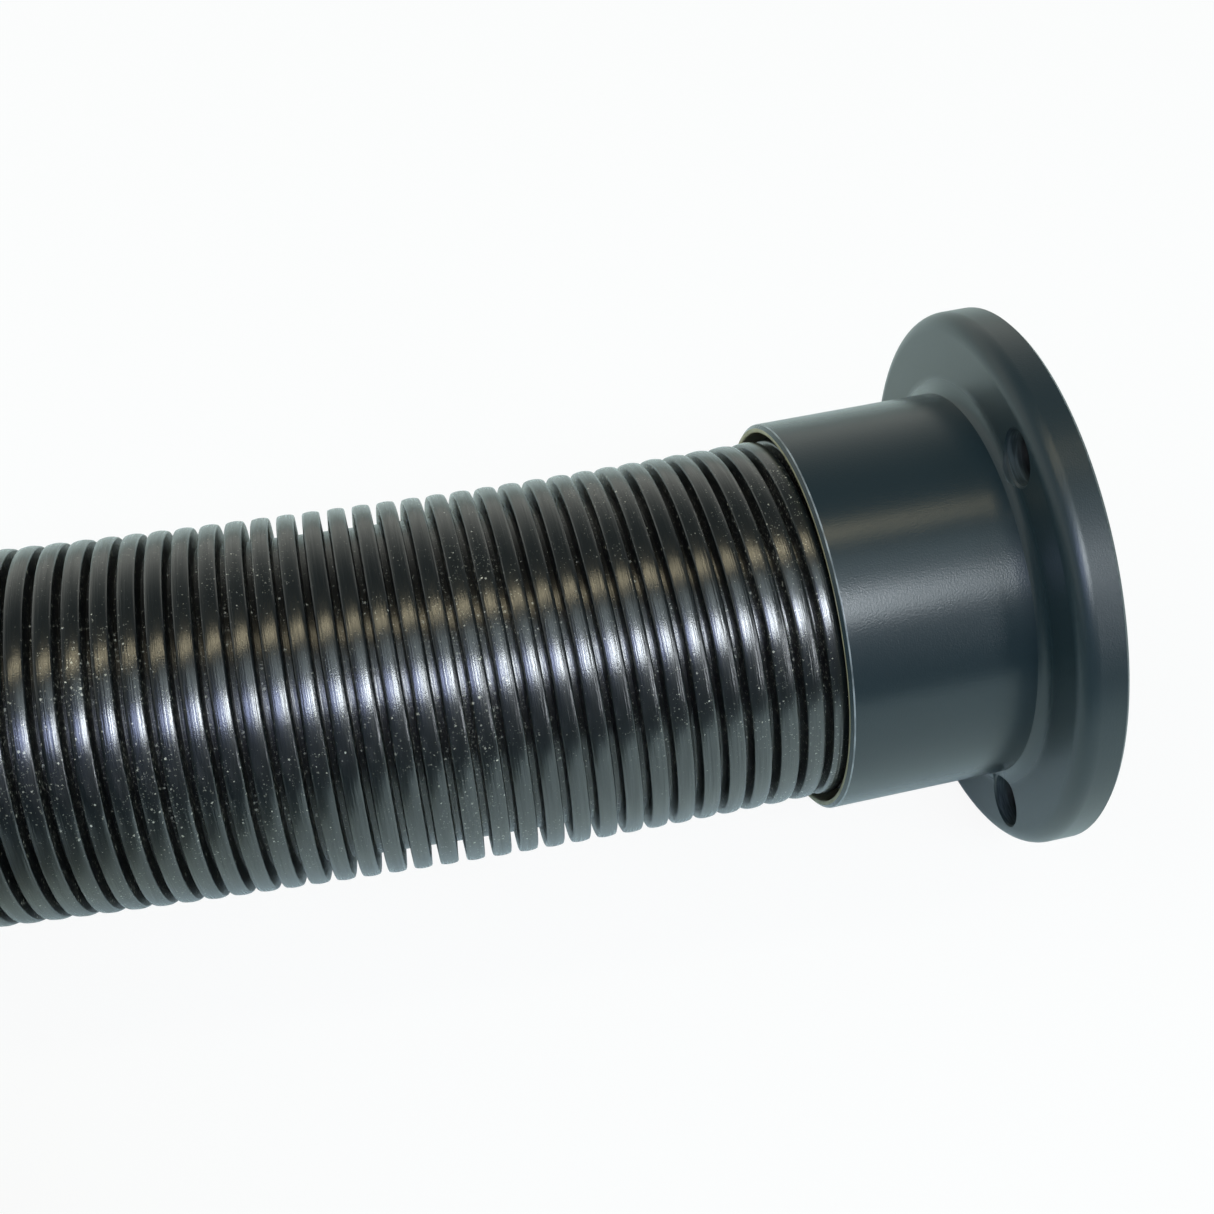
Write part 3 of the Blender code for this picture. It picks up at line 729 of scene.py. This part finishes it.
STRAP_WIDTH = 0.025
STRAP_THICKNESS = 0.0019
STRAP_ANGLES = (130.0, 205.0, 290.0)
OVERLAP = 0.060
SLACK = 0.0001  # between the end of a strap and what it lies on
STITCH_STEP = 0.0034
STITCH_INSET = 0.003  # from the strap's edge
STITCH_HALVES = (0.0012, 0.0003, 0.0003)  # half a stitch's length, width and height
SEAM_LINES = (0.005, 0.051)  # where the rows across the strap lie along its end


def strap_loop():
    """The line a strap follows about the two stacked turns: two half circles and the straights between them, from
    the middle of the outside, upwards. Each point has its own outward direction."""
    radius = HOSE_RADIUS + GAP
    up = np.linspace(0, 1, 20)[1:-1, None]
    top = np.radians(np.linspace(0, 180, 61))
    under = np.radians(np.linspace(180, 360, 61))
    over = np.column_stack([np.cos(top), np.sin(top)])
    below = np.column_stack([np.cos(under), np.sin(under)])
    outside, inside = np.array([[1.0, 0.0]]), np.array([[-1.0, 0.0]])
    rise = np.array([[0.0, LAYER]])
    points = [radius * over + rise, radius * inside + rise * (1 - up), radius * below, radius * outside + rise * up]
    away = [over, np.repeat(inside, len(up), 0), below, np.repeat(outside, len(up), 0)]
    points, away = np.vstack(points), np.vstack(away)
    start = int(np.argmin(np.abs(points[:, 1] - LAYER / 2) + (points[:, 0] < 0)))
    return np.roll(points, -start, 0), np.roll(away, -start, 0)


def webbing(name, line, away, lift, closed, angle):
    """A strip of webbing along the line: at each point a rounded rectangle, STRAP_WIDTH by STRAP_THICKNESS, stands
    a lift off it. The strip is then turned to its place on the coil."""
    half, thick = STRAP_WIDTH / 2, STRAP_THICKNESS / 2
    side = arc(half - thick, thick, thick, -90, 90, 6)
    across = np.vstack([side, (side * (-1, 1))[::-1]])
    lift = np.broadcast_to(lift, len(line))[:, None]
    out = line[:, None, :] + away[:, None, :] * (across[None, :, 1:] + lift[:, :, None])
    spin = math.radians(angle) + across[None, :, 0] / COIL_RADIUS
    reach = COIL_RADIUS + out[:, :, 0]
    x = COIL_CENTRE[0] + reach * np.cos(spin)
    y = COIL_CENTRE[1] + reach * np.sin(spin)
    points = np.stack([x, y, COIL_CENTRE[2] + out[:, :, 1]], axis=2)
    rows, count = points.shape[:2]
    i, j = np.meshgrid(np.arange(rows if closed else rows - 1), np.arange(count), indexing="ij")
    beside, ahead = (j + 1) % count, (i + 1) % rows
    corners = [i * count + j, i * count + beside, ahead * count + beside, ahead * count + j]
    faces = np.stack(corners, axis=2).reshape(-1, 4)
    along = np.concatenate([lengths_along(line), [0]])
    along[-1] = along[-2] + np.linalg.norm(line[0] - line[-1])
    wide = np.concatenate([across[:, 0], across[:1, 0]])
    u = np.stack([along[i], along[i], along[i + 1], along[i + 1]], axis=2)
    v = np.stack([wide[j], wide[j + 1], wide[j + 1], wide[j]], axis=2)
    mesh = mesh_of(name, points.reshape(-1, 3), faces, np.stack([u, v], axis=3).reshape(-1, 2))
    bm = bmesh.new()
    bm.from_mesh(mesh)
    if not closed:
        bmesh.ops.holes_fill(bm, edges=[e for e in bm.edges if e.is_boundary], sides=0)
    bmesh.ops.recalc_face_normals(bm, faces=bm.faces)
    bm.to_mesh(mesh)
    bm.free()
    mesh.polygons.foreach_set("use_smooth", np.ones(len(mesh.polygons), bool))
    mesh.set_sharp_from_angle(angle=math.radians(60))
    piece = bpy.data.objects.new(name, mesh)
    scene.collection.objects.link(piece)
    return piece


def stitches(name, line, away, lift, angle):
    """A box of stitches, with two rows along the strap and two across it. Each is a bead of thread 2.4 mm long and
    0.6 mm thick."""
    at = lengths_along(line)
    half = STRAP_WIDTH / 2 - STITCH_INSET
    spots = [(a, w, 0) for a in np.arange(0.006, 0.050, STITCH_STEP) for w in (-half, half)]
    spots += [(a, w, 1) for a in SEAM_LINES for w in np.arange(-half + 0.0025, half - 0.001, STITCH_STEP)]
    bm = bmesh.new()
    for along, wide, across in spots:
        i = int(np.searchsorted(at, along))
        spin = math.radians(angle) + wide / COIL_RADIUS
        ring = Vector((math.cos(spin), math.sin(spin), 0.0))
        out = ring * away[i][0] + Vector((0.0, 0.0, away[i][1]))
        sideways = Vector((-math.sin(spin), math.cos(spin), 0.0))
        forward = out.cross(sideways).normalized()
        place = Vector((COIL_CENTRE[0], COIL_CENTRE[1], COIL_CENTRE[2] + line[i][1]))
        place += ring * (COIL_RADIUS + line[i][0]) + out * lift
        long, wide_way = (sideways, forward) if across else (forward, sideways)
        axes = [way * size for way, size in zip((long, wide_way, out), STITCH_HALVES)]
        turn = Matrix(axes).transposed().to_4x4()
        bmesh.ops.create_icosphere(bm, subdivisions=2, radius=1.0, matrix=Matrix.Translation(place) @ turn)
    mesh = bpy.data.meshes.new(name)
    bm.to_mesh(mesh)
    bm.free()
    mesh.polygons.foreach_set("use_smooth", np.ones(len(mesh.polygons), bool))
    piece = bpy.data.objects.new(name, mesh)
    scene.collection.objects.link(piece)
    return piece


def woven_polypropylene():
    """Webbing of black polypropylene yarn: warps 1 mm apart along it, each over and under the wefts in turn. The
    yarns' crowns are painted paler and the hollows between them darker: painted light and shade, varied by the fibres'
    own fuzz.
    """
    m = new_material("woven polypropylene webbing")
    where = add(m, "ShaderNodeUVMap", uv_map="hose_map").outputs["UV"]
    parts = add(m, "ShaderNodeSeparateXYZ", {0: where}).outputs
    warp = add(m, "ShaderNodeMath", {0: parts["Y"], 1: 1000.0}, operation="MULTIPLY").outputs[0]
    row = add(m, "ShaderNodeMath", {0: warp}, operation="FLOOR").outputs[0]
    weft = add(m, "ShaderNodeMath", {0: parts["X"], 1: 500.0}, operation="MULTIPLY").outputs[0]
    weft = add(m, "ShaderNodeMath", {0: row, 1: 0.5, 2: weft}, operation="MULTIPLY_ADD").outputs[0]
    lobes = []
    for value in (warp, weft):
        turn = add(m, "ShaderNodeMath", {0: value, 1: math.pi}, operation="MULTIPLY").outputs[0]
        wave = add(m, "ShaderNodeMath", {0: turn}, operation="SINE").outputs[0]
        lobes.append(add(m, "ShaderNodeMath", {0: wave}, operation="ABSOLUTE").outputs[0])
    height = add(m, "ShaderNodeMath", {0: lobes[0], 1: lobes[1]}, operation="MULTIPLY").outputs[0]
    fibre = add(m, "ShaderNodeMapping", {"Vector": where, "Scale": (900.0, 9000.0, 1.0)})
    fuzz = add(m, "ShaderNodeTexNoise", {"Vector": fibre.outputs[0], "Scale": 1.0, "Detail": 2.0}).outputs["Fac"]
    # Painted light and shade: paler where the yarn stands high, darker between the yarns, varied along the fibres.
    painted_crown_light = add(m, "ShaderNodeMath", {0: height, 1: fuzz}, operation="MULTIPLY").outputs[0]
    colour = add(m, "ShaderNodeMix", {0: painted_crown_light, 6: linear("0c0d0e"), 7: linear("3a3d40")}, data_type="RGBA")
    bump = add(m, "ShaderNodeBump", {"Height": height, "Strength": 0.9, "Distance": 0.0003}).outputs[0]
    shader = {"Base Color": colour.outputs[2], "Roughness": 0.55, "IOR": 1.49, "Normal": bump, "Sheen Weight": 0.15}
    add(m, "ShaderNodeOutputMaterial", {"Surface": add(m, "ShaderNodeBsdfPrincipled", shader).outputs[0]})
    return m


def polyester_thread():
    """Bonded polyester sewing thread, grey, with the twist of its plies along it."""
    m = new_material("bonded polyester thread")
    place = add(m, "ShaderNodeTexCoord").outputs["Object"]
    twist = add(m, "ShaderNodeTexNoise", {"Vector": place, "Scale": 5000.0, "Detail": 1.0}).outputs["Fac"]
    colour = add(m, "ShaderNodeMix", {0: twist, 6: linear("26282a"), 7: linear("5a5d60")}, data_type="RGBA")
    bump = add(m, "ShaderNodeBump", {"Height": twist, "Strength": 0.5, "Distance": 0.0001}).outputs[0]
    shader = {"Base Color": colour.outputs[2], "Roughness": 0.5, "IOR": 1.5, "Normal": bump}
    add(m, "ShaderNodeOutputMaterial", {"Surface": add(m, "ShaderNodeBsdfPrincipled", shader).outputs[0]})
    return m


strap_line, strap_away = strap_loop()
flap = lengths_along(strap_line) <= OVERLAP
flap_line, flap_away = strap_line[flap], strap_away[flap]
flap_lift = np.full(len(flap_line), STRAP_THICKNESS + SLACK)
web, thread = woven_polypropylene(), polyester_thread()
for number, strap_angle in enumerate(STRAP_ANGLES, start=1):
    band = webbing(f"strap_{number}_band", strap_line, strap_away, 0.0, True, strap_angle)
    fold = webbing(f"strap_{number}_flap", flap_line, flap_away, flap_lift, False, strap_angle)
    sewing = stitches(f"strap_{number}_stitches", flap_line, flap_away, 2 * STRAP_THICKNESS + SLACK, strap_angle)
    for piece, material in ((band, web), (fold, web), (sewing, thread)):
        piece.data.materials.append(material)
        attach(piece, "hose")
    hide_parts(f"coil_strap_{number}")

# ---- The hose's three pieces --------------------------------------------------------------------------------------
# The hose is one length. It is three pieces here because the near end, which the camera sees, has finer ribs. The
# straps lie on its lower turn, and the cuff with its sleeve, washer and nut is on its far end.


# ---- The floor and the light --------------------------------------------------------------------------------------
# A white sheet lies under the hose. A long softbox in front lights it: its reflections in the photograph are bluer
# towards the left, so it is three lamps here. A softbox on each side, a weak fill and a warm strip overhead join it.


def lamp(name, place, target, size, power, colour):
    """A rectangular lamp that faces a point. Its long side is level."""
    data = bpy.data.lights.new(name, "AREA")
    data.shape = "RECTANGLE"
    data.size, data.size_y = size
    data.energy = power
    data.color = colour
    light = bpy.data.objects.new(name, data)
    light.location = place
    light.rotation_euler = (Vector(target) - Vector(place)).to_track_quat("-Z", "Y").to_euler()
    scene.collection.objects.link(light)
    return light


lamp("front softbox", (0.09, -0.93, 1.14), (0.09, 0.0, 0.04), (0.42, 0.40), 8.8, (0.88, 0.95, 1.0))
lamp("front softbox, right half", (0.42, -0.93, 1.14), (0.42, 0.0, 0.04), (0.24, 0.40), 1.8, (0.88, 0.96, 1.0))
lamp("front softbox, left half", (-0.50, -0.93, 1.14), (-0.50, 0.0, 0.04), (0.76, 0.38), 4.9, (0.52, 0.61, 0.97))
lamp("right softbox", (0.72, -0.93, 0.58), (0.72, 0.0, 0.04), (0.26, 0.7), 3.2, (0.88, 0.94, 1.0))
lamp("front fill", (0.1, -0.55, 1.45), (0.1, 0.0, 0.04), (1.2, 0.5), 1.5, (0.80, 0.98, 1.0))
lamp("overhead strip", (-0.16, 0.06, 1.6), (-0.16, 0.0, 0.04), (1.58, 0.20), 3.7, (1.0, 0.88, 0.58))
left_softbox = lamp("left softbox", (-1.4, -0.05, 0.95), (-0.05, -0.05, 0.04), (2.2, 1.4), 16.0, (1.0, 0.98, 0.90))
left_softbox.visible_glossy = False  # the photograph shows no reflection of it

SHEET_EDGE = -0.40  # the Y where the card ends, 0.4 m in front of the fitting's axis
GLOW = 0.92  # how much of the sheet that the camera sees is plain white: the rest shows the shadow
FLOOR_HALF = 6.0


def white_sheet():
    """Matt white card, with a dark table in front of its edge. The camera sees all of it as white, with a faint shadow
    of the hose."""
    m = new_material("matt white card")
    rays = add(m, "ShaderNodeLightPath")
    place = add(m, "ShaderNodeTexCoord").outputs["Object"]
    y = add(m, "ShaderNodeSeparateXYZ", {0: place}).outputs["Y"]
    on_card = add(m, "ShaderNodeMath", {0: y, 1: SHEET_EDGE}, operation="GREATER_THAN").outputs[0]
    camera_ray = rays.outputs["Is Camera Ray"]
    pale = add(m, "ShaderNodeMath", {0: camera_ray, 1: on_card}, operation="MAXIMUM").outputs[0]
    colours = {0: pale, 6: linear("2b2b2b"), 7: linear("dff1ef")}
    colour = add(m, "ShaderNodeMix", colours, data_type="RGBA").outputs[2]
    card = add(m, "ShaderNodeBsdfDiffuse", {"Color": colour})
    glow = add(m, "ShaderNodeEmission", {"Color": (1.0, 1.0, 1.0, 1.0), "Strength": 1.0})
    share = add(m, "ShaderNodeMath", {0: camera_ray, 1: GLOW}, operation="MULTIPLY")
    mixed = add(m, "ShaderNodeMixShader", {0: share.outputs[0], 1: card.outputs[0], 2: glow.outputs[0]})
    add(m, "ShaderNodeOutputMaterial", {"Surface": mixed.outputs[0]})
    return m


floor_points = FLOOR_HALF * np.array([(-1.0, -1.0, 0.0), (1.0, -1.0, 0.0), (1.0, 1.0, 0.0), (-1.0, 1.0, 0.0)])
floor = solid("floor", floor_points, np.array([[0, 1, 2, 3]]))
floor.data.materials.append(white_sheet())


def studio_world():
    """A pale wall behind and to the left, bright at the horizon and fading out 64 degrees up, in a dim even light. The
    camera sees plain white."""
    world = bpy.data.worlds.new("studio")
    world.use_nodes = True
    world.node_tree.nodes.clear()
    towards = add(world, "ShaderNodeTexCoord").outputs["Generated"]
    parts = add(world, "ShaderNodeSeparateXYZ", {0: towards}).outputs
    turned_left = add(world, "ShaderNodeMath", {0: parts["X"], 1: -0.5}, operation="MULTIPLY").outputs[0]
    behind = {0: parts["Y"], 1: 0.87, 2: turned_left}
    behind = add(world, "ShaderNodeMath", behind, operation="MULTIPLY_ADD").outputs[0]
    side = add(
        world,
        "ShaderNodeMapRange",
        {"Value": behind, "From Min": -0.30, "From Max": 0.15, "To Min": 0.0, "To Max": 1.0},
        interpolation_type="SMOOTHSTEP",
    )
    low = add(
        world,
        "ShaderNodeMapRange",
        {"Value": parts["Z"], "From Min": 0.02, "From Max": 0.90, "To Min": 0.7, "To Max": 0.0},
        interpolation_type="SMOOTHSTEP",
    )
    wall = add(world, "ShaderNodeMath", {0: side.outputs[0], 1: low.outputs[0]}, operation="MULTIPLY")
    level = add(world, "ShaderNodeMath", {0: wall.outputs[0], 1: 0.03}, operation="ADD")
    soft = {"Color": (0.97, 1.0, 0.92, 1.0), "Strength": level.outputs[0]}
    soft = add(world, "ShaderNodeBackground", soft)
    white = add(world, "ShaderNodeBackground", {"Color": (1.0, 1.0, 1.0, 1.0), "Strength": 1.0})
    camera_ray = add(world, "ShaderNodeLightPath").outputs["Is Camera Ray"]
    chosen = add(world, "ShaderNodeMixShader", {0: camera_ray, 1: soft.outputs[0], 2: white.outputs[0]})
    add(world, "ShaderNodeOutputWorld", {"Surface": chosen.outputs[0]})
    return world


scene.world = studio_world()
scene.view_settings.view_transform = "Standard"
